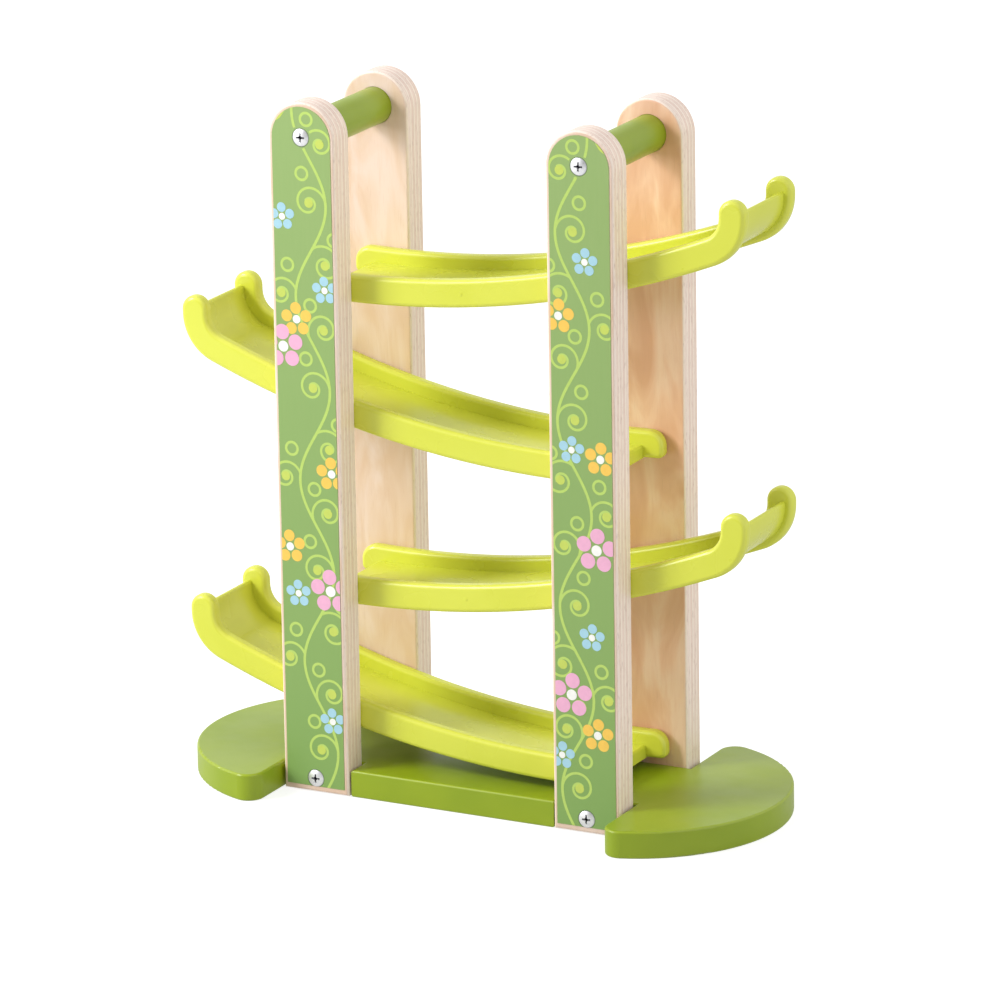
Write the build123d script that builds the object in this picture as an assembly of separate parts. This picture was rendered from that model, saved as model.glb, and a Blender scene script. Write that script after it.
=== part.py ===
from build123d import *
import math
import os

# Marble run for toy cars and balls: two pairs of plywood uprights on a painted base board,
# tied at the top by two round rods, with four identical moulded ramps zigzagging down between
# them.  Millimetres, +Z up, +X to the right, front face towards -Y, origin on the floor below
# the middle of the base board.

# Uprights: plywood boards with a half-round top, standing just clear of the floor
height = 341.3
upright_low_z = 0.6
upright_width = 35.0
upright_thick = 15.0
upright_x = 73.0
outer_y = 44.0
upright_round = 1.4
inner_y = outer_y - upright_thick
top_radius = upright_width / 2
top_centre_z = height - top_radius

# Printed panels on the outer faces of the uprights
print_thick = 0.25
print_inset = 1.95
print_low_z = upright_low_z + 3.0

# Base board
base_thick = 13.5
base_half_depth = 42.5
base_round = 1.2
lobe_x = 80.0
lobe_radius = 73.0
lobe_side_x = 92.2
lobe_corner = 8.0
notch_gap = 0.9

# Top rods, held in shallow sockets in the uprights
rod_radius = 9.1
rod_z = 324.6
socket_depth = 3.0
socket_gap = 0.15

# Screws: raised countersunk heads with a cross recess
head_radius = 4.2
head_depth = 2.3
dome_height = 0.8
shank_radius = 2.0
top_screw_length = 36.0
base_screw_length = 34.0
screw_gap = 0.05
base_screw_z = 7.6
recess_span = 4.6
recess_width = 0.95
recess_depth = 1.7
recess_taper = 12.0
tip_length = 4.0

# Ramps.  x runs from the low end to the high end and z is counted from the lowest point of the
# side walls' lower edge.  The walls follow a shallow arc, then turn up into a pair of horns.
ramp_pitch = 74.9
ramp_low_z = 17.8
ramp_radius = 508.0
ramp_centre_x = -57.0
wall_height = 13.5
wall_thick = 7.0
wall_round = 2.3
wall_out_y = inner_y - 0.1
wall_in_y = wall_out_y - wall_thick
horn_x = 149.6
turn_z = 60.2
horn_straight = 2.0
low_end_x = -82.0
low_top_corner = 7.5
low_bottom_corner = 3.0

# Ramp floor, set between the walls
floor_top = 6.6
floor_under = 3.6
lip_in_x = 143.6
lip_out_x = 146.2
lip_rise = 1.0
floor_end_x = -71.8
floor_end_thick = 2.8
floor_end_round = 1.2
floor_bite = 1.0

# Pegs moulded on the ramp walls, in blind holes in the uprights
peg_radius = 3.5
peg_length = 6.0
peg_gap = 0.05
peg_end_gap = 0.3

# The four corners where an upright stands: left or right, then front or rear
corners = [(x_side, side) for side in (-1, 1) for x_side in (-1, 1)]


def turn_arc(offset, reach):
    """Radius and start of the arc that turns the ramp curve at this offset up to x = reach."""
    main = ramp_radius - offset
    across = reach - ramp_centre_x
    above = ramp_radius - turn_z
    radius = (main**2 - across**2 - above**2) / (2 * (main - across))
    start_angle = math.atan2(across - radius, above)
    return radius, start_angle


def ramp_z(x, offset):
    """Height of the shallow arc at this offset above the walls' lower edge."""
    return ramp_radius - math.sqrt((ramp_radius - offset) ** 2 - (x - ramp_centre_x) ** 2)


def arc_point(centre, radius, angle):
    """Point on a circle, with the angle counted from straight down towards +x."""
    return (centre[0] + radius * math.sin(angle), centre[1] - radius * math.cos(angle))


def ramp_edge(offset, start_x, reach):
    """The long arc and the tangent turn-up arc of one ramp curve, as two edges."""
    main = ramp_radius - offset
    main_centre = (ramp_centre_x, ramp_radius)
    radius, joint_angle = turn_arc(offset, reach)
    turn_centre = (reach - radius, turn_z)
    start_angle = math.asin((start_x - ramp_centre_x) / main)
    mid_angle = (start_angle + joint_angle) / 2
    half_turn = (joint_angle + math.pi / 2) / 2
    joint = arc_point(main_centre, main, joint_angle)
    long_arc = ThreePointArc(
        arc_point(main_centre, main, start_angle), arc_point(main_centre, main, mid_angle), joint
    )
    turn = ThreePointArc(joint, arc_point(turn_centre, radius, half_turn), (reach, turn_z))
    return long_arc, turn


def ramp_wall():
    """One side wall with its horn, on the front side."""
    horn_in_x = horn_x - wall_height
    horn_z = turn_z + horn_straight
    horn_mid_x = (horn_x + horn_in_x) / 2
    with BuildPart() as wall:
        with BuildSketch(Plane.XZ.offset(wall_in_y)) as outline:
            with BuildLine():
                ramp_edge(0.0, low_end_x, horn_x)
                Line((horn_x, turn_z), (horn_x, horn_z))
                ThreePointArc(
                    (horn_x, horn_z), (horn_mid_x, horn_z + wall_height / 2), (horn_in_x, horn_z)
                )
                Line((horn_in_x, horn_z), (horn_in_x, turn_z))
                ramp_edge(wall_height, low_end_x, horn_in_x)
                Line((low_end_x, ramp_z(low_end_x, wall_height)), (low_end_x, ramp_z(low_end_x, 0.0)))
            make_face()
            for offset, radius in ((0.0, low_bottom_corner), (wall_height, low_top_corner)):
                end = (low_end_x, ramp_z(low_end_x, offset))
                fillet(outline.vertices().sort_by_distance(end)[0], radius)
        extrude(amount=wall_thick)
        side_edges = wall.faces().filter_by(Axis.Y).edges()
        fillet(side_edges, wall_round)
    return wall.part


def ramp_floor():
    """The floor plate: a lip at the high end and a down-turned end at the low end."""
    half_width = wall_in_y + floor_bite
    end_in_x = floor_end_x + floor_end_thick
    lip_thick = lip_out_x - lip_in_x
    lip_z = turn_z + lip_rise
    with BuildPart() as plate:
        with BuildSketch(Plane.XZ):
            with BuildLine():
                ramp_edge(floor_top, floor_end_x, lip_in_x)
                Line((lip_in_x, turn_z), (lip_in_x, lip_z))
                ThreePointArc(
                    (lip_in_x, lip_z),
                    (lip_in_x + lip_thick / 2, lip_z + lip_thick / 2),
                    (lip_out_x, lip_z),
                )
                Line((lip_out_x, lip_z), (lip_out_x, turn_z))
                ramp_edge(floor_under, end_in_x, lip_out_x)
                Polyline(
                    (end_in_x, ramp_z(end_in_x, floor_under)),
                    (end_in_x, ramp_z(end_in_x, 0.0)),
                    (floor_end_x, ramp_z(floor_end_x, 0.0)),
                    (floor_end_x, ramp_z(floor_end_x, floor_top)),
                )
            make_face()
        extrude(amount=half_width, both=True)
        top_edge = plate.edges().filter_by(Axis.Y).sort_by_distance(
            (floor_end_x, 0, ramp_z(floor_end_x, floor_top))
        )
        fillet(top_edge[0], floor_end_round)
    return plate.part


def peg_place(side):
    """Centre of the wall where a peg leaves it, in the ramp's own x and z; side is -1 or 1."""
    x = side * upright_x
    return x, ramp_z(x, wall_height / 2)


def make_ramp():
    wall = ramp_wall()
    ramp = wall + mirror(wall, Plane.XZ) + ramp_floor()
    root_y = wall_out_y - wall_thick / 2
    tip_y = wall_out_y + peg_length
    for x_side, side in corners:
        x, z = peg_place(x_side)
        peg = Cylinder(peg_radius, tip_y - root_y)
        ramp += Pos(x, side * (root_y + tip_y) / 2, z) * Rot(90, 0, 0) * peg
    return ramp


def ramp_places():
    """Name, direction of the high end and floor height of each ramp, from the top down."""
    names = ("ramp_1_top", "ramp_2_upper", "ramp_3_lower", "ramp_4_bottom")
    places = []
    for index, name in enumerate(names):
        direction = 1 if index % 2 == 0 else -1
        z = ramp_low_z + ramp_pitch * (len(names) - 1 - index)
        places.append((name, direction, z))
    return places


def upright_outline(inset, low_z):
    """Board outline with a half-round top, shrunk by inset, from low_z up at x = 0."""
    radius = top_radius - inset
    body = Pos(0, (top_centre_z + low_z) / 2) * Rectangle(2 * radius, top_centre_z - low_z)
    return body + Pos(0, top_centre_z) * Circle(radius)


def screw_profile(gap, length):
    """Solid of revolution of a screw along +Z with the head's rim at z = 0, grown by gap."""
    rim = head_radius + gap
    neck = shank_radius + gap
    outline = Polyline(
        (0, 0), (rim, 0), (neck, -head_depth - gap), (neck, -length + tip_length), (0, -length), (0, 0)
    )
    return revolve(make_face(Plane.XZ * outline), Axis.Z)


def make_screw(length):
    """Raised countersunk screw with a cross recess, along +Z."""
    dome_radius = (head_radius**2 + dome_height**2) / (2 * dome_height)
    dome = Pos(0, 0, dome_height - dome_radius) * Sphere(dome_radius)
    dome &= Pos(0, 0, dome_height / 2) * Box(3 * head_radius, 3 * head_radius, dome_height)
    screw = screw_profile(0.0, length) + dome
    slots = Rectangle(recess_span, recess_width) + Rectangle(recess_width, recess_span)
    slots += Circle(recess_width)
    recess = extrude(Pos(0, 0, dome_height) * slots, -recess_depth, taper=recess_taper)
    return screw - recess


def outward(x, z, side):
    """Place for a screw: its axis points out of the face of the front (-1) or rear (1) upright."""
    return Pos(x, side * (outer_y + print_thick), z) * Rot(-90 * side, 0, 0)


def screw_cut(x, z, side, length):
    """Countersink and shank hole of one screw."""
    return outward(x, z, side) * screw_profile(screw_gap, length)


def make_upright(x_side, side):
    """Front (side -1) or rear (side 1) upright, left (x_side -1) or right (1), in place."""
    x = x_side * upright_x
    board = extrude(Plane.XZ * upright_outline(0.0, upright_low_z), upright_thick)
    board = fillet(board.faces().filter_by(Axis.Y).edges(), upright_round)
    front_y = outer_y if side > 0 else -inner_y
    board = Pos(x, front_y, 0) * board
    socket = Pos(x, 0, rod_z) * Rot(90, 0, 0)
    board -= socket * Cylinder(rod_radius + socket_gap, 2 * (inner_y + socket_depth))
    for _, direction, z0 in ramp_places():
        peg_x, peg_z = peg_place(x_side * direction)
        hole = Cylinder(peg_radius + peg_gap, 2 * (wall_out_y + peg_length + peg_end_gap))
        board -= Pos(x, 0, z0 + peg_z) * Rot(90, 0, 0) * hole
    board -= screw_cut(x, rod_z, side, top_screw_length)
    board -= screw_cut(x, base_screw_z, side, base_screw_length)
    return board


def make_print(x_side, side):
    """Thin printed panel on an upright's outer face, with clearance round the screw heads."""
    x = x_side * upright_x
    panel = extrude(Plane.XZ * upright_outline(print_inset, print_low_z), print_thick)
    panel_y = outer_y + print_thick if side > 0 else -outer_y
    panel = Pos(x, panel_y, 0) * panel
    for z in (rod_z, base_screw_z):
        hole = Cylinder(head_radius + screw_gap, 3 * outer_y)
        panel -= Pos(x, 0, z) * Rot(90, 0, 0) * hole
    return panel


def make_base():
    """Painted board: a straight middle, a round lobe at each end and four notches."""
    plan = Rectangle(2 * (lobe_side_x + lobe_corner), 2 * base_half_depth)
    for side in (-1, 1):
        outside = Pos(side * (lobe_side_x + lobe_radius), 0) * Rectangle(2 * lobe_radius, 3 * lobe_radius)
        lobe = (Pos(side * lobe_x, 0) * Circle(lobe_radius)) & outside
        plan += fillet(lobe.vertices(), lobe_corner)
    notch_in_x = upright_x - upright_width / 2 - notch_gap
    notch_mid_x = (notch_in_x + lobe_side_x) / 2
    notch_mid_y = inner_y + lobe_radius / 2
    notch = Rectangle(lobe_side_x - notch_in_x, lobe_radius)
    for x_side, side in corners:
        plan -= Pos(x_side * notch_mid_x, side * notch_mid_y) * notch
    board = extrude(plan, base_thick)
    board = fillet(board.faces().filter_by(Axis.Z).edges(), base_round)
    for x_side, side in corners:
        board -= screw_cut(x_side * upright_x, base_screw_z, side, base_screw_length)
    return board


def make_rod(x_side):
    """Round tie rod between the tops of a front and a rear upright."""
    x = x_side * upright_x
    rod = Pos(x, 0, rod_z) * Rot(90, 0, 0) * Cylinder(rod_radius, 2 * (inner_y + socket_depth))
    for side in (-1, 1):
        rod -= screw_cut(x, rod_z, side, top_screw_length)
    return rod


parts = {"base_board": make_base()}
for x_side, side in corners:
    where = ("rear_" if side > 0 else "front_") + ("right" if x_side > 0 else "left")
    x = x_side * upright_x
    parts["upright_" + where] = make_upright(x_side, side)
    parts["print_" + where] = make_print(x_side, side)
    parts["screw_top_" + where] = outward(x, rod_z, side) * make_screw(top_screw_length)
    parts["screw_base_" + where] = outward(x, base_screw_z, side) * make_screw(base_screw_length)
for name, x_side in (("rod_left", -1), ("rod_right", 1)):
    parts[name] = make_rod(x_side)
ramp = make_ramp()
for name, direction, z in ramp_places():
    parts[name] = Pos(0, 0, z) * Rot(0, 0, 0 if direction > 0 else 180) * ramp

os.makedirs("parts", exist_ok=True)
for name, solid in parts.items():
    export_step(solid, "parts/" + name + ".step")
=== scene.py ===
import math

import bmesh
import bpy
from mathutils import Matrix, Vector


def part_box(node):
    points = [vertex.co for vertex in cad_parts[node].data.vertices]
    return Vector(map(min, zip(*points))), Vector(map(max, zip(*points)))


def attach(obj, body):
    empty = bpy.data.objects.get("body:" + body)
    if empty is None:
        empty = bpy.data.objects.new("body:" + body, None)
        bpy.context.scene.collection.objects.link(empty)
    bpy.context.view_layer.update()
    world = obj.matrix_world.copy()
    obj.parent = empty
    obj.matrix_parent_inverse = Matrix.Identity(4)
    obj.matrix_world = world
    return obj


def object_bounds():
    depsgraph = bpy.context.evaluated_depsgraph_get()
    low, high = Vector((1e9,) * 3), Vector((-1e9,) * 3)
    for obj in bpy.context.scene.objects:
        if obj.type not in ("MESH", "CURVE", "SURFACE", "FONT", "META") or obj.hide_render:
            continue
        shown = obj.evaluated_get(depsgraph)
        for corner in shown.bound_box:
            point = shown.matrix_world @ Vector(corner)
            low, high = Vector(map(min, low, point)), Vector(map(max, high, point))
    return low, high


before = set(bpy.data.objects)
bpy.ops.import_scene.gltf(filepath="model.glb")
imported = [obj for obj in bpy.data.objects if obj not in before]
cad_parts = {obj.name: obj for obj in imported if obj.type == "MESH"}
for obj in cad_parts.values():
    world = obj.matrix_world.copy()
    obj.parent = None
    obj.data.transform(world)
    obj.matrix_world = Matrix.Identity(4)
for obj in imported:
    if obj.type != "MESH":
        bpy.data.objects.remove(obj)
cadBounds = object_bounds()
mm = 0.001  # the frame is in metres, and small sizes here are in millimetres
print("frame loaded:", len(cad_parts), "nodes")


# ---- small helpers for shader trees ----

def putNode(tree, kind, values=None, **settings):
    # one node with its input values and its settings
    node = tree.nodes.new("ShaderNode" + kind)
    for key, value in settings.items():
        setattr(node, key, value)
    for key, value in (values or {}).items():
        node.inputs[key].default_value = value
    return node


def wire(tree, source, target):
    tree.links.new(source, target)


def newMaterial(name, values):
    # a Principled material with its plain constants set on the shader's own sockets
    material = bpy.data.materials.new(name)
    material.use_nodes = True
    tree = material.node_tree
    tree.nodes.clear()
    output = putNode(tree, "OutputMaterial")
    shader = putNode(tree, "BsdfPrincipled", values)
    wire(tree, shader.outputs["BSDF"], output.inputs["Surface"])
    return material, tree, shader


def newGroup(name, inputs, outputs):
    # a node group with named sockets: (name, kind, starting value)
    group = bpy.data.node_groups.new(name, "ShaderNodeTree")
    for label, kind, value in inputs:
        socket = group.interface.new_socket(label, in_out="INPUT", socket_type="NodeSocket" + kind)
        if value is not None:
            socket.default_value = value
    for label, kind in outputs:
        group.interface.new_socket(label, in_out="OUTPUT", socket_type="NodeSocket" + kind)
    return group, group.nodes.new("NodeGroupInput"), group.nodes.new("NodeGroupOutput")


def putGroup(tree, group, values=None):
    node = tree.nodes.new("ShaderNodeGroup")
    node.node_tree = group
    for key, value in (values or {}).items():
        node.inputs[key].default_value = value
    return node


def putMath(tree, operation, first, second=None):
    # a Math node, where each side is a socket or a number
    node = putNode(tree, "Math", operation=operation)
    for index, side in enumerate((first, second)):
        if isinstance(side, bpy.types.NodeSocket):
            wire(tree, side, node.inputs[index])
        elif side is not None:
            node.inputs[index].default_value = side
    return node.outputs[0]


def putMix(tree, factor, first, second, blend="MIX"):
    # a colour mix, where each colour is a socket or three numbers
    node = putNode(tree, "Mix", data_type="RGBA", blend_type=blend)
    for socket, side in ((node.inputs["Factor"], factor), (node.inputs[6], first), (node.inputs[7], second)):
        if isinstance(side, bpy.types.NodeSocket):
            wire(tree, side, socket)
        elif isinstance(side, (int, float)):
            socket.default_value = side
        else:
            socket.default_value = (*side, 1.0)
    return node.outputs[2]


def putRange(tree, value, fromLow, fromHigh, toLow=0.0, toHigh=1.0, smooth=False):
    ends = {"From Min": fromLow, "From Max": fromHigh, "To Min": toLow, "To Max": toHigh}
    node = putNode(tree, "MapRange", ends)
    node.interpolation_type = "SMOOTHSTEP" if smooth else "LINEAR"
    wire(tree, value, node.inputs["Value"])
    return node.outputs["Result"]


def putNoise(tree, vector, scale, detail=3.0, roughness=0.5, distortion=0.0):
    node = putNode(tree, "TexNoise", {"Scale": scale, "Detail": detail, "Roughness": roughness,
                                      "Distortion": distortion})
    wire(tree, vector, node.inputs["Vector"])
    return node.outputs["Fac"]


def putScaled(tree, vector, scale):
    node = putNode(tree, "Mapping", {"Scale": scale})
    wire(tree, vector, node.inputs["Vector"])
    return node.outputs["Vector"]


def putBump(tree, shader, height, strength, distance):
    node = putNode(tree, "Bump", {"Strength": strength, "Distance": distance})
    wire(tree, height, node.inputs["Height"])
    wire(tree, node.outputs["Normal"], shader.inputs["Normal"])


def linear(red, green, blue):
    # a colour given as 0 to 255 on screen, as the shader wants it
    def one(value):
        part = value / 255
        return part / 12.92 if part <= 0.04045 else ((part + 0.055) / 1.055) ** 2.4
    return one(red), one(green), one(blue)


# ---- shared effects ----

def buildWoodGrain():
    # rotary-cut veneer: broad cloudy figure, soft streaks along the board and short pores
    group, start, end = newGroup(
        "woodGrain",
        [("Vector", "Vector", None), ("Stretch", "Vector", (1.0, 1.0, 0.12)), ("Size", "Float", 260.0)],
        [("Figure", "Float"), ("Streaks", "Float"), ("Pores", "Float")])
    scaled = putNode(group, "VectorMath", operation="MULTIPLY")
    wire(group, start.outputs["Vector"], scaled.inputs[0])
    wire(group, start.outputs["Stretch"], scaled.inputs[1])
    sized = putNode(group, "VectorMath", operation="SCALE")
    wire(group, scaled.outputs[0], sized.inputs[0])
    wire(group, start.outputs["Size"], sized.inputs["Scale"])
    figure = putNoise(group, putScaled(group, sized.outputs[0], (1.0, 1.0, 2.4)), 0.2, 3.0, 0.5, 1.6)
    streaks = putNoise(group, sized.outputs[0], 1.7, 4.0, 0.6, 0.3)
    pores = putNoise(group, putScaled(group, sized.outputs[0], (1.0, 1.0, 0.5)), 8.0, 2.0, 0.5)
    wire(group, figure, end.inputs["Figure"])
    wire(group, streaks, end.inputs["Streaks"])
    wire(group, putRange(group, pores, 0.60, 0.72), end.inputs["Pores"])
    return group


def buildHandling():
    # faint smudges that change the gloss of a handled toy
    group, start, end = newGroup("handling", [("Vector", "Vector", None)], [("Smudge", "Float")])
    smudge = putNoise(group, start.outputs["Vector"], 24.0, 3.0, 0.6)
    wire(group, putRange(group, smudge, 0.35, 0.7, smooth=True), end.inputs["Smudge"])
    return group


def buildRoundedEdge():
    # picks out the rounded edges, where a face's normal lies between an axis and its square
    group, start, end = newGroup(
        "roundedEdge", [("Normal", "Vector", None), ("Axis", "Vector", (0.0, 0.0, 1.0))], [("Edge", "Float")])
    dot = putNode(group, "VectorMath", operation="DOT_PRODUCT")
    wire(group, start.outputs["Normal"], dot.inputs[0])
    wire(group, start.outputs["Axis"], dot.inputs[1])
    lean = putMath(group, "ABSOLUTE", dot.outputs["Value"])
    rise = putRange(group, lean, 0.12, 0.5, smooth=True)
    fall = putRange(group, lean, 0.85, 0.985, 1.0, 0.0, smooth=True)
    wire(group, putMath(group, "MULTIPLY", rise, fall), end.inputs["Edge"])
    return group


def buildPlies():
    # the layers of a plywood board seen on its edge, counted from the board's inner face
    group, start, end = newGroup(
        "plies",
        [("Vector", "Vector", None), ("Inner Face", "Float", None), ("Thickness", "Float", None),
         ("Count", "Float", 9.0)],
        [("Layer", "Float"), ("Cross", "Float"), ("Glue", "Float")])
    wobble = putNoise(group, putScaled(group, start.outputs["Vector"], (60.0, 60.0, 16.0)), 1.0, 3.0)
    split = putNode(group, "SeparateXYZ")
    wire(group, start.outputs["Vector"], split.inputs["Vector"])
    fromMiddle = putMath(group, "ABSOLUTE", split.outputs["Y"])
    depth = putMath(group, "SUBTRACT", fromMiddle, start.outputs["Inner Face"])
    share = putMath(group, "DIVIDE", depth, start.outputs["Thickness"])
    counted = putMath(group, "MULTIPLY", share, start.outputs["Count"])
    bend = putMath(group, "MULTIPLY", putMath(group, "SUBTRACT", wobble, 0.5), 0.7)
    bent = putMath(group, "ADD", counted, bend)
    layer = putMath(group, "FLOOR", bent)
    inside = putMath(group, "FRACT", bent)
    cross = putMath(group, "ABSOLUTE", putMath(group, "MODULO", layer, 2.0))
    edge = putMath(group, "MINIMUM", inside, putMath(group, "SUBTRACT", 1.0, inside))
    wire(group, layer, end.inputs["Layer"])
    wire(group, cross, end.inputs["Cross"])
    wire(group, putRange(group, edge, 0.02, 0.14, 1.0, 0.0, smooth=True), end.inputs["Glue"])
    return group


woodGrain = buildWoodGrain()
handling = buildHandling()
roundedEdge = buildRoundedEdge()
plies = buildPlies()
print("shared effects ready")


def objectPlace(tree):
    # position in the frame's own axes
    return putNode(tree, "TexCoord").outputs["Object"]


def objectSpace(tree):
    # position and normal in the frame's own axes
    place = putNode(tree, "TexCoord")
    return place.outputs["Object"], place.outputs["Normal"]


def putGloss(tree, shader, place, gloss, smoother, rougher):
    # smudges make the finish a little smoother or rougher than its usual gloss
    touched = putGroup(tree, handling)
    wire(tree, place, touched.inputs["Vector"])
    rough = putRange(tree, touched.outputs["Smudge"], 0.0, 1.0, gloss - smoother, gloss + rougher)
    wire(tree, rough, shader.inputs["Roughness"])


# ---- birch plywood of the uprights ----

plywood = {
    "longPly": linear(253, 235, 221), "crossPly": linear(240, 213, 198), "glue": linear(190, 156, 140),
    "pore": linear(186, 146, 110), "gloss": 0.42, "bump": 0.1,
}
# each board is cut from another sheet, so its face has a tone of its own: middle, darker, lighter
boardTones = {
    "upright_front_left": (linear(232, 207, 189), linear(226, 195, 170), linear(237, 215, 201)),
    "upright_front_right": (linear(231, 205, 187), linear(224, 192, 166), linear(236, 213, 199)),
    "upright_rear_left": (linear(231, 205, 187), linear(225, 194, 168), linear(236, 213, 201)),
    "upright_rear_right": (linear(242, 197, 168), linear(231, 179, 146), linear(249, 213, 189)),
}


def makePlywood(name, tones):
    material, tree, shader = newMaterial(
        name, {"Roughness": plywood["gloss"], "Coat Weight": 0.15, "Coat Roughness": 0.3})
    place, normal = objectSpace(tree)
    grain = putGroup(tree, woodGrain)
    wire(tree, place, grain.inputs["Vector"])
    # broad face: pale birch with a cloudy figure and faint darker streaks
    middle, darker, lighter = tones
    figure = grain.outputs["Figure"]
    face = putMix(tree, putRange(tree, figure, 0.42, 0.68, smooth=True), middle, darker)
    face = putMix(tree, putRange(tree, figure, 0.50, 0.30, smooth=True), face, lighter)
    face = putMix(tree, putRange(tree, grain.outputs["Streaks"], 0.5, 0.78, 0.0, 0.3), face, darker)
    face = putMix(tree, putMath(tree, "MULTIPLY", grain.outputs["Pores"], 0.12), face, plywood["pore"])
    # edge: alternating long and cross plies with thin glue lines
    outer, inner = (-corner.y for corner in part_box("upright_front_left"))
    layers = putGroup(tree, plies, {"Inner Face": inner, "Thickness": outer - inner})
    wire(tree, place, layers.inputs["Vector"])
    tone = putNode(tree, "TexWhiteNoise", noise_dimensions="1D")
    wire(tree, layers.outputs["Layer"], tone.inputs["W"])
    cross = putMath(tree, "MULTIPLY", layers.outputs["Cross"],
                    putRange(tree, tone.outputs["Value"], 0.0, 1.0, 0.25, 1.0))
    edge = putMix(tree, cross, plywood["longPly"], plywood["crossPly"])
    broken = putNoise(tree, putScaled(tree, place, (500.0, 500.0, 90.0)), 1.0, 2.0)
    glue = putMath(tree, "MULTIPLY", layers.outputs["Glue"], putRange(tree, broken, 0.3, 0.6, 0.15, 0.6))
    edge = putMix(tree, glue, edge, plywood["glue"])
    speck = putNoise(tree, putScaled(tree, place, (1100.0, 1100.0, 260.0)), 1.0, 2.0)
    edge = putMix(tree, putRange(tree, speck, 0.56, 0.78, 0.0, 0.5), edge, plywood["glue"])
    # the outward lean of the normal tells a broad face from an edge
    split = putNode(tree, "SeparateXYZ")
    wire(tree, normal, split.inputs["Vector"])
    broad = putRange(tree, putMath(tree, "ABSOLUTE", split.outputs["Y"]), 0.75, 0.95, smooth=True)
    wire(tree, putMix(tree, broad, edge, face), shader.inputs["Base Color"])
    putGloss(tree, shader, place, plywood["gloss"], 0.05, 0.1)
    relief = putMath(tree, "SUBTRACT", grain.outputs["Streaks"], grain.outputs["Pores"])
    relief = putMath(tree, "SUBTRACT", relief, putMath(tree, "MULTIPLY", glue, 0.5))
    putBump(tree, shader, relief, plywood["bump"], 0.1 * mm)
    return material


# ---- green paint of the base board and the rods ----

greenPaint = {
    "color": linear(152, 172, 20), "deep": linear(136, 159, 11), "paintedEdgeHighlight": linear(183, 197, 64),
    "gloss": 0.36, "bump": 0.16,
}


def makeGreenPaint(name, grainAlong, edgeAxis):
    material, tree, shader = newMaterial(name, {"Coat Weight": 0.12, "Coat Roughness": 0.25})
    place, normal = objectSpace(tree)
    grain = putGroup(tree, woodGrain, {"Stretch": grainAlong, "Size": 200.0})
    wire(tree, place, grain.inputs["Vector"])
    cloud = putNoise(tree, place, 18.0, 3.0, 0.55)
    color = putMix(tree, putRange(tree, cloud, 0.3, 0.7), greenPaint["color"], greenPaint["deep"])
    # painted highlight: the rounded edges are mixed towards a lighter green
    edge = putGroup(tree, roundedEdge, {"Axis": edgeAxis})
    wire(tree, normal, edge.inputs["Normal"])
    color = putMix(tree, putMath(tree, "MULTIPLY", edge.outputs["Edge"], 0.25), color, greenPaint["paintedEdgeHighlight"])
    wire(tree, color, shader.inputs["Base Color"])
    putGloss(tree, shader, place, greenPaint["gloss"], 0.06, 0.08)
    fine = putNoise(tree, place, 900.0, 2.0)
    relief = putMath(tree, "ADD", grain.outputs["Streaks"], putMath(tree, "MULTIPLY", fine, 0.35))
    putBump(tree, shader, relief, greenPaint["bump"], 0.08 * mm)
    return material


# ---- lime plastic of the ramps ----

limePlastic = {
    "color": linear(219, 224, 80), "deep": linear(207, 213, 53), "edge": linear(235, 238, 111),
    "gloss": 0.27, "bump": 0.05,
}


def makeLimePlastic():
    material, tree, shader = newMaterial("limePlastic", {"IOR": 1.49})
    place, normal = objectSpace(tree)
    cloud = putNoise(tree, place, 25.0, 2.0)
    color = putMix(tree, putRange(tree, cloud, 0.3, 0.7, 0.0, 0.5), limePlastic["color"], limePlastic["deep"])
    # painted highlight: the rounded edges are mixed towards a lighter yellow
    edge = putGroup(tree, roundedEdge, {"Axis": (0.0, 1.0, 0.0)})
    wire(tree, normal, edge.inputs["Normal"])
    color = putMix(tree, putMath(tree, "MULTIPLY", edge.outputs["Edge"], 0.35), color, limePlastic["edge"])
    wire(tree, color, shader.inputs["Base Color"])
    putGloss(tree, shader, place, limePlastic["gloss"], 0.03, 0.05)
    putBump(tree, shader, putNoise(tree, place, 260.0, 2.0), limePlastic["bump"], 0.06 * mm)
    return material


# ---- printed panels and their inks ----

panelInk = {
    "top": linear(147, 175, 104), "bottom": linear(129, 165, 86), "paintedScrewShadow": linear(70, 88, 62),
    "gloss": 0.4, "bump": 0.05, "ringNear": 0.15, "ringFar": 0.65, "ringDepth": 0.75,
    "vine": linear(184, 212, 104), "bud": linear(196, 212, 92), "blue": linear(166, 210, 226),
    "yellow": linear(246, 200, 84), "pink": linear(238, 176, 206), "white": linear(246, 246, 240),
}


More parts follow.
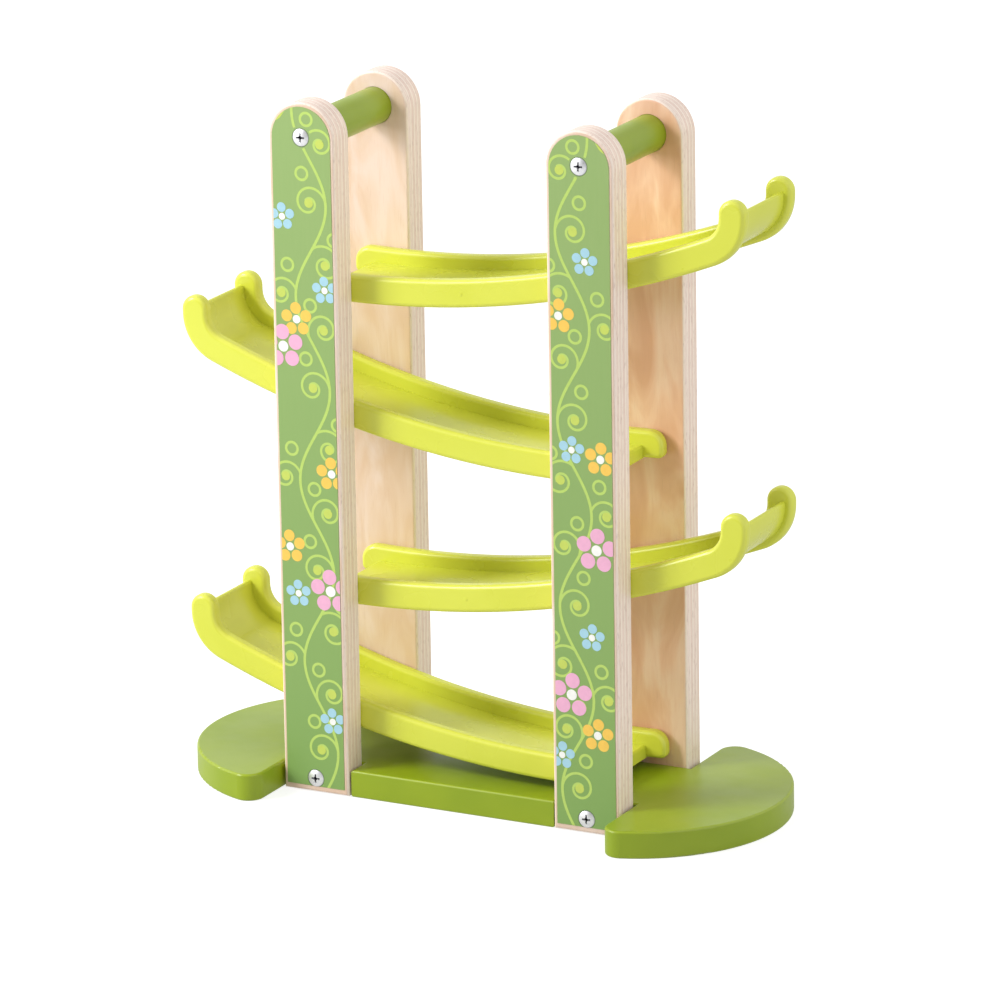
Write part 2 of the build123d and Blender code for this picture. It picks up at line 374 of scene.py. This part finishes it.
def makePrintedFilm():
    material, tree, shader = newMaterial("printedFilm", {"Coat Weight": 0.15, "Coat Roughness": 0.3})
    place = objectPlace(tree)
    split = putNode(tree, "SeparateXYZ")
    wire(tree, place, split.inputs["Vector"])
    bottom, top = (corner.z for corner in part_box("print_front_left"))
    fade = putRange(tree, split.outputs["Z"], bottom, top)
    color = putMix(tree, fade, panelInk["bottom"], panelInk["top"])
    fiber = putNoise(tree, putScaled(tree, place, (700.0, 700.0, 60.0)), 1.0, 3.0)
    color = putMix(tree, putRange(tree, fiber, 0.35, 0.75, 0.0, 0.16), color, panelInk["bottom"])
    # painted shadow: the film is darker in a thin ring round each screw head
    sideways = putMath(tree, "ABSOLUTE", split.outputs["X"])
    for screw in ("screw_top_front_right", "screw_base_front_right"):
        low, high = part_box(screw)
        across = putMath(tree, "SUBTRACT", sideways, (low.x + high.x) / 2)
        up = putMath(tree, "SUBTRACT", split.outputs["Z"], (low.z + high.z) / 2)
        squares = [putMath(tree, "MULTIPLY", side, side) for side in (across, up)]
        far = putMath(tree, "SQRT", putMath(tree, "ADD", *squares))
        rim = (high.x - low.x) / 2
        near, wide = rim + panelInk["ringNear"] * mm, rim + panelInk["ringFar"] * mm
        ring = putRange(tree, far, near, wide, panelInk["ringDepth"], 0.0, smooth=True)
        color = putMix(tree, ring, color, panelInk["paintedScrewShadow"])
    wire(tree, color, shader.inputs["Base Color"])
    putGloss(tree, shader, place, panelInk["gloss"], 0.05, 0.08)
    putBump(tree, shader, fiber, panelInk["bump"], 0.05 * mm)
    return material


def makeInk(name):
    material, tree, shader = newMaterial(
        "ink" + name.capitalize(), {"Coat Weight": 0.15, "Coat Roughness": 0.3})
    place = objectPlace(tree)
    mottle = putNoise(tree, place, 420.0, 3.0)
    shade = tuple(part * 0.86 for part in panelInk[name])
    color = putMix(tree, putRange(tree, mottle, 0.4, 0.8, 0.0, 0.5), panelInk[name], shade)
    wire(tree, color, shader.inputs["Base Color"])
    wire(tree, putRange(tree, mottle, 0.3, 0.7, 0.34, 0.46), shader.inputs["Roughness"])
    putBump(tree, shader, mottle, panelInk["bump"], 0.03 * mm)
    return material


# ---- plated screws ----

plating = {
    "color": linear(250, 250, 252), "dull": linear(234, 235, 240), "paintedRecessShade": linear(62, 60, 74),
    "gloss": 0.42, "bump": 0.04, "recess": 0.55,
}


def makePlating():
    material, tree, shader = newMaterial("platedSteel", {"Metallic": 0.9})
    place = objectPlace(tree)
    cloud = putNoise(tree, place, 700.0, 3.0)
    color = putMix(tree, putRange(tree, cloud, 0.4, 0.75), plating["color"], plating["dull"])
    # painted shade: the cross recess is darkened below the top of the dome
    split = putNode(tree, "SeparateXYZ")
    wire(tree, place, split.inputs["Vector"])
    domeTop = -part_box("screw_top_front_left")[0].y
    deep = putRange(tree, putMath(tree, "ABSOLUTE", split.outputs["Y"]),
                    domeTop - plating["recess"] * mm, domeTop - plating["recess"] * 2 * mm, smooth=True)
    wire(tree, putMix(tree, deep, color, plating["paintedRecessShade"]), shader.inputs["Base Color"])
    wire(tree, putRange(tree, cloud, 0.3, 0.8, plating["gloss"] - 0.06, plating["gloss"] + 0.1),
         shader.inputs["Roughness"])
    putBump(tree, shader, putNoise(tree, place, 2600.0, 2.0), plating["bump"], 0.03 * mm)
    return material


def dress(nodeNames, material):
    for name in nodeNames:
        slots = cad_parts[name].data.materials
        slots.clear()
        slots.append(material)


def named(prefix):
    return [name for name in sorted(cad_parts) if name.startswith(prefix)]


for board, tones in boardTones.items():
    dress([board], makePlywood("birchPlywood" + board.removeprefix("upright"), tones))
dress(["base_board"], makeGreenPaint("greenPaintBoard", (0.06, 1.0, 1.0), (0.0, 0.0, 1.0)))
dress(named("rod_"), makeGreenPaint("greenPaintRods", (1.0, 0.06, 1.0), (0.0, 1.0, 0.0)))
lime = makeLimePlastic()
dress(named("ramp_"), lime)
dress(named("print_"), makePrintedFilm())
dress(named("screw_"), makePlating())
print("CAD nodes dressed")


# ---- artwork printed on the panels ----

# Sizes in mm on a panel: across counts from the panel's middle towards the stem's crests, and up
# from the floor.  The stem swings once in each period; rings and curls repeat with it.
vine = {
    "period": 90.3, "swing": 8.6, "lean": 4.0, "crest": 292.3, "stemWidth": 1.4,
    "rings": ((3.0, -49.0), (0.0, 15.0), (16.4, -16.0), (-8.8, -30.0)),
    "ringRadius": 3.1, "ringWidth": 1.3, "ringSegments": 40, "ringFloor": 5.0,
    # curls: middle across, middle up, where the branch leaves the stem, turning sense
    "curls": ((3.5, 1.0, -1.0, 1), (11.5, -28.7, -21.0, -1), (-12.4, -44.0, -42.0, 1),
              (10.0, -60.5, -65.0, -1)),
    "curlTurns": 1.45, "curlEnd": 2.0, "curlPower": 1.4, "curlWidth": 1.25, "curlSteps": 90, "budRadius": 2.3,
    "step": 0.8, "inkHeight": 0.03, "inkLayer": 0.012, "screwGap": 0.1,
    "repeats": range(-1, 5), "overrun": 1.0,
}

flower = {"petals": 5, "petalShare": 0.53, "centerShare": 0.375, "tilt": 4.0, "segments": 28}
reach = {"blue": 4.45, "yellow": 5.45, "pink": 7.1}

# flowers: ink, across, up
flowersA = (
    ("blue", -11.0, 285.5), ("blue", 11.0, 251.5), ("yellow", -4.5, 236.0), ("pink", -12.0, 222.0),
    ("yellow", 12.5, 161.5), ("yellow", -11.0, 123.0), ("blue", -7.0, 100.0), ("pink", 10.5, 103.0),
    ("blue", 10.0, 37.5),
)
flowersB = (
    ("blue", -2.5, 279.5), ("yellow", 11.5, 252.5), ("blue", 5.5, 188.5), ("yellow", -9.5, 185.5),
    ("pink", -7.0, 141.0), ("blue", -4.0, 98.0), ("pink", 7.0, 68.5), ("yellow", -6.5, 50.0),
    ("blue", 12.5, 38.0),
)
cornerBud = (-15.5, 338.0, 6.6)  # across, up and radius of a bud cut off by the panel's rounded top


def stemAt(up):
    return vine["lean"] + vine["swing"] * math.cos(2 * math.pi * (up - vine["crest"]) / vine["period"])


def stemPath(low, high):
    count = int((high - low) / vine["step"])
    heights = [low + (high - low) * k / count for k in range(count + 1)]
    return [(stemAt(up), up) for up in heights]


def curlPath(across, up, branch, sense):
    # from the stem inwards, closing more slowly as it nears the bud
    startX, startY = stemAt(branch) - across, branch - up
    startRadius = math.hypot(startX, startY)
    startAngle = math.atan2(startY, startX)
    turn = sense * 2 * math.pi * vine["curlTurns"]
    path = []
    for k in range(vine["curlSteps"] + 1):
        share = k / vine["curlSteps"]
        radius = vine["curlEnd"] + (startRadius - vine["curlEnd"]) * (1 - share) ** vine["curlPower"]
        angle = startAngle + turn * share
        path.append((across + radius * math.cos(angle), up + radius * math.sin(angle)))
    return path


def circlePath(across, up, radius, segments):
    angles = [2 * math.pi * k / segments for k in range(segments)]
    return [(across + radius * math.cos(angle), up + radius * math.sin(angle)) for angle in angles]


def addStroke(mesh, path, width, closed, top):
    # a flat closed ribbon of ink along a path
    rows = []
    count = len(path)
    for k, (x, y) in enumerate(path):
        before = path[(k - 1) % count] if closed or k > 0 else path[k]
        after = path[(k + 1) % count] if closed or k < count - 1 else path[k]
        along = Vector((after[0] - before[0], after[1] - before[1])).normalized()
        side = Vector((-along.y, along.x)) * width / 2
        corners = [(x + side.x, y + side.y, 0), (x - side.x, y - side.y, 0),
                   (x - side.x, y - side.y, top), (x + side.x, y + side.y, top)]
        rows.append([mesh.verts.new(corner) for corner in corners])
    pairs = list(zip(rows, rows[1:] + rows[:1])) if closed else list(zip(rows, rows[1:]))
    for here, there in pairs:
        for k in range(4):
            mesh.faces.new((here[k], here[(k + 1) % 4], there[(k + 1) % 4], there[k]))
    if not closed:
        mesh.faces.new(rows[0])
        mesh.faces.new(list(reversed(rows[-1])))


def clearRuns(path, closed, width, screws):
    # the stretches of a stroke that stay clear of the screw heads, each with whether it is closed
    keep = [all(math.dist(point, centre) > gap + width / 2 for centre, gap in screws) for point in path]
    if all(keep):
        return [(path, closed)]
    if closed:
        first = keep.index(False)
        path, keep = path[first:] + path[:first], keep[first:] + keep[:first]
    runs, run = [], []
    for point, good in zip(path + path[:1], keep + [False]):
        if good:
            run.append(point)
            continue
        if len(run) > 1:
            runs.append((run, False))
        run = []
    return runs


def addDisc(mesh, across, up, radius, top):
    outline = circlePath(across, up, radius, flower["segments"])
    low = [mesh.verts.new((x, y, 0)) for x, y in outline]
    high = [mesh.verts.new((x, y, top)) for x, y in outline]
    mesh.faces.new(list(reversed(low)))
    mesh.faces.new(high)
    for k in range(len(low)):
        after = (k + 1) % len(low)
        mesh.faces.new((low[k], low[after], high[after], high[k]))


trim = {"cuts": 48, "slack": 1e-6}


def clipToPanel(mesh, halfWidth, low, arcZ):
    # the panel's outline has no hollows, so straight cuts trim the ink to it
    planes = [((0, low, 0), (0, -1, 0)), ((halfWidth, 0, 0), (1, 0, 0)), ((-halfWidth, 0, 0), (-1, 0, 0))]
    for k in range(1, trim["cuts"]):
        angle = math.pi * k / trim["cuts"]
        out = (math.cos(angle), math.sin(angle), 0)
        planes.append(((halfWidth * out[0], arcZ + halfWidth * out[1], 0), out))
    for point, normal in planes:
        origin, direction = Vector(point), Vector(normal)
        if all((vert.co - origin).dot(direction) <= trim["slack"] for vert in mesh.verts):
            continue
        parts = mesh.verts[:] + mesh.edges[:] + mesh.faces[:]
        bmesh.ops.bisect_plane(mesh, geom=parts, plane_co=origin, plane_no=direction, clear_outer=True)
        rim = [edge for edge in mesh.edges if edge.is_boundary]
        bmesh.ops.holes_fill(mesh, edges=rim, sides=0)


def inkPiece(name, ink, where, sense, shapes):
    # shapes are small meshes in panel millimetres, merged after each is clipped
    low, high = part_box("print_" + where)
    middle = (low.x + high.x) / 2
    halfWidth = (high.x - low.x) / 2 / mm
    outward = 1 if high.y > 0 else -1
    faceY = high.y if outward > 0 else low.y
    joined = bmesh.new()
    for shape in shapes:
        part = bmesh.new()
        shape(part)
        clipToPanel(part, halfWidth, low.z / mm, high.z / mm - halfWidth)
        if part.verts:
            copy = bpy.data.meshes.new("part")
            part.to_mesh(copy)
            joined.from_mesh(copy)
            bpy.data.meshes.remove(copy)
        part.free()
    for vert in joined.verts:
        across, up, out = vert.co
        vert.co = (middle + sense * across * mm, faceY + outward * out * mm, up * mm)
    bmesh.ops.recalc_face_normals(joined, faces=joined.faces[:])
    mesh = bpy.data.meshes.new(name)
    joined.to_mesh(mesh)
    joined.free()
    mesh.materials.append(inks[ink])
    piece = bpy.data.objects.new(name, mesh)
    bpy.context.scene.collection.objects.link(piece)
    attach(piece, "root")


def layer(level):
    return vine["inkHeight"] + vine["inkLayer"] * level


def flowerDiscs(kind, flowers):
    # petals of one ink, or the white centres of every flower
    for ink, across, up in flowers:
        if kind == "white":
            yield across, up, reach[ink] * flower["centerShare"]
        elif kind == ink:
            for k in range(flower["petals"]):
                angle = math.radians(90 + flower["tilt"] + 360 * k / flower["petals"])
                yield (across + reach[ink] * math.cos(angle), up + reach[ink] * math.sin(angle),
                       reach[ink] * flower["petalShare"])


def screwSpots(where):
    # middle and clearance of both screw heads, in panel millimetres
    spots = []
    for prefix in ("screw_top_", "screw_base_"):
        low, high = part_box(prefix + where)
        spots.append(((0.0, (low.z + high.z) / 2 / mm), (high.x - low.x) / 2 / mm + vine["screwGap"]))
    return spots


def printPanel(where):
    # the right panels mirror the left ones, and the two sets of flowers alternate round the toy
    low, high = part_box("print_" + where)
    top, bottom = high.z / mm, low.z / mm
    flowers = flowersA if where in ("front_left", "rear_right") else flowersB
    sense = 1 if where.endswith("left") else -1
    screws = screwSpots(where)
    paths = [(stemPath(bottom - vine["overrun"], top + vine["overrun"]), False, vine["stemWidth"], layer(1))]
    buds = []
    for repeat in vine["repeats"]:
        shift = vine["crest"] - repeat * vine["period"]
        for across, up, branch, turn in vine["curls"]:
            curl = curlPath(across, up + shift, branch + shift, turn)
            paths.append((curl, False, vine["curlWidth"], layer(0)))
            buds.append((across, up + shift, vine["budRadius"]))
        for across, up in vine["rings"]:
            if up + shift > bottom + vine["ringFloor"]:
                ring = circlePath(across, up + shift, vine["ringRadius"], vine["ringSegments"])
                paths.append((ring, True, vine["ringWidth"], layer(0)))
    buds.append(cornerBud)
    strokes = []
    for path, closed, width, height in paths:
        for run, whole in clearRuns(path, closed, width, screws):
            strokes.append(lambda mesh, run=run, w=width, c=whole, h=height: addStroke(mesh, run, w, c, h))
    inkPiece("vine_" + where, "vine", where, sense, strokes)
    inkPiece("buds_" + where, "bud", where, sense,
             [lambda mesh, bud=bud: addDisc(mesh, *bud, layer(2)) for bud in buds])
    for level, kind in enumerate(("yellow", "blue", "pink", "white"), start=3):
        discs = [lambda mesh, disc=disc, height=layer(level): addDisc(mesh, *disc, height)
                 for disc in flowerDiscs(kind, flowers)]
        inkPiece(kind + "_" + where, kind, where, sense, discs)


inks = {name: makeInk(name) for name in ("vine", "bud", "blue", "yellow", "pink", "white")}
for where in ("front_left", "front_right", "rear_left", "rear_right"):
    printPanel(where)
print("artwork printed")


# ---- gate marks where the plastic entered the mould ----

gate = {"radius": 1.0, "root": -0.05, "rise": 0.12, "dome": 0.05, "across": 2.2, "near": 4.0, "segments": 32}


def gatePlace(ramp, across, side):
    # the outer face of the wall, and half its height, at this place along the ramp
    spots = [vert.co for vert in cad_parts[ramp].data.vertices]
    spots = [spot for spot in spots if abs(spot.x / mm - across) < gate["near"]]
    heights = [spot.z for spot in spots]
    face = side * max(side * spot.y for spot in spots)
    return Vector((across * mm, face, (min(heights) + max(heights)) / 2))


def gateMark(name, ramp, across, side):
    # a low domed disc at the middle height of a ramp's outer wall
    place = gatePlace(ramp, across, side)
    top = gate["rise"] + gate["dome"]
    profile = ((1.0, gate["root"]), (1.0, gate["rise"] * 0.7), (0.85, gate["rise"]), (0.4, top))
    mesh = bmesh.new()
    rings = []
    for share, rise in profile:
        outline = circlePath(0, 0, gate["radius"] * share, gate["segments"])
        rings.append([mesh.verts.new((place.x + x * mm, place.y + side * rise * mm, place.z + up * mm))
                      for x, up in outline])
    for lower, upper in zip(rings, rings[1:]):
        for k in range(gate["segments"]):
            after = (k + 1) % gate["segments"]
            mesh.faces.new((lower[k], lower[after], upper[after], upper[k]))
    mesh.faces.new(list(reversed(rings[0])))
    mesh.faces.new(rings[-1])
    bmesh.ops.recalc_face_normals(mesh, faces=mesh.faces[:])
    data = bpy.data.meshes.new(name)
    mesh.to_mesh(data)
    mesh.free()
    data.materials.append(lime)
    piece = bpy.data.objects.new(name, data)
    bpy.context.scene.collection.objects.link(piece)
    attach(piece, "root")


for ramp in named("ramp_"):
    highRight = ramp in ("ramp_1_top", "ramp_3_lower")
    gateMark("gate_" + ramp, ramp, gate["across"] if highRight else -gate["across"], -1 if highRight else 1)
print("gate marks added")


# ---- floor, light and camera ----

studio = {
    "floorSize": 6.0, "floor": (0.4, 0.4, 0.4), "floorGlow": 0.78, "floorBounce": 0.3,
    # the room's soft light: towards which side it is brightest, and how bright
    "room": (((-1, 0, 0.4), 1.18), ((1, 0, 0.4), 1.28), ((0, 1, 0.4), 0.58)),
    # lamps: name, place, size and power
    "lamps": (("highLamp", (-0.95, -0.75, 0.95), 0.5, 13.2), ("lowLamp", (-1.0, -1.1, 0.5), 0.4, 4.8)),
}


def makeFloor():
    # white where it is seen directly, and only a pale grey in the light that it throws back
    half = studio["floorSize"] / 2
    mesh = bpy.data.meshes.new("floor")
    corners = [(-half, -half, 0), (half, -half, 0), (half, half, 0), (-half, half, 0)]
    mesh.from_pydata(corners, [], [(0, 1, 2, 3)])
    floor = bpy.data.objects.new("floor", mesh)
    bpy.context.scene.collection.objects.link(floor)
    material, tree, shader = newMaterial(
        "paleFloor", {"Roughness": 0.9, "Specular IOR Level": 0.0, "Emission Color": (1.0, 1.0, 1.0, 1.0)})
    grain = putNoise(tree, putNode(tree, "TexCoord").outputs["Object"], 60.0, 3.0)
    shade = tuple(part * 0.985 for part in studio["floor"])
    wire(tree, putMix(tree, grain, studio["floor"], shade), shader.inputs["Base Color"])
    seen = putNode(tree, "LightPath").outputs["Is Camera Ray"]
    wire(tree, putRange(tree, seen, 0.0, 1.0, studio["floorBounce"], studio["floorGlow"]),
         shader.inputs["Emission Strength"])
    mesh.materials.append(material)


def makeLamp(name, place, size, power, target):
    data = bpy.data.lights.new(name, "AREA")
    data.shape = "DISK"
    data.size = size
    data.energy = power
    lamp = bpy.data.objects.new(name, data)
    lamp.location = place
    lamp.rotation_mode = "QUATERNION"
    lamp.rotation_quaternion = (target - Vector(place)).to_track_quat("-Z", "Y")
    bpy.context.scene.collection.objects.link(lamp)


def makeWorld():
    # soft light from a few broad directions, and plain white where the room is seen directly
    world = bpy.data.worlds.new("studio")
    world.use_nodes = True
    tree = world.node_tree
    sky = tree.nodes["Background"]
    sky.inputs["Color"].default_value = (1.0, 1.0, 1.0, 1.0)
    direction = putNode(tree, "TexCoord").outputs["Generated"]
    total = putNode(tree, "LightPath").outputs["Is Camera Ray"]
    for towards, strength in studio["room"]:
        lean = putNode(tree, "VectorMath", operation="DOT_PRODUCT")
        wire(tree, direction, lean.inputs[0])
        lean.inputs[1].default_value = Vector(towards).normalized()
        lobe = putMath(tree, "POWER", putMath(tree, "MAXIMUM", lean.outputs["Value"], 0.0), 1.5)
        total = putMath(tree, "ADD", total, putMath(tree, "MULTIPLY", lobe, strength))
    wire(tree, total, sky.inputs["Strength"])
    bpy.context.scene.world = world


lens = {"place": (1.45768, -2.77966, 1.05929), "azimuth": 27.569, "elevation": 16.253, "roll": -0.924,
        "length": 246.485, "sensor": 36.0, "farthest": 30.0}


def makeCamera():
    azimuth, elevation, roll = (math.radians(lens[key]) for key in ("azimuth", "elevation", "roll"))
    ahead = Vector((-math.sin(azimuth) * math.cos(elevation), math.cos(azimuth) * math.cos(elevation),
                    -math.sin(elevation)))
    right = Vector((math.cos(azimuth), math.sin(azimuth), 0))
    up = right.cross(ahead)
    tiltedRight = math.cos(roll) * right + math.sin(roll) * up
    tiltedUp = math.cos(roll) * up - math.sin(roll) * right
    data = bpy.data.cameras.new("camera")
    data.lens = lens["length"]
    data.sensor_width = lens["sensor"]
    data.clip_end = lens["farthest"]
    camera = bpy.data.objects.new("camera", data)
    turn = Matrix((tiltedRight, tiltedUp, -ahead)).transposed()
    camera.matrix_world = Matrix.Translation(lens["place"]) @ turn.to_4x4()
    bpy.context.scene.collection.objects.link(camera)
    bpy.context.scene.camera = camera


middle = (cadBounds[0] + cadBounds[1]) / 2
makeFloor()
makeWorld()
for name, place, size, power in studio["lamps"]:
    makeLamp(name, place, size, power, middle)
makeCamera()
bpy.context.scene.view_settings.view_transform = "Standard"
print("stage, light and camera ready")
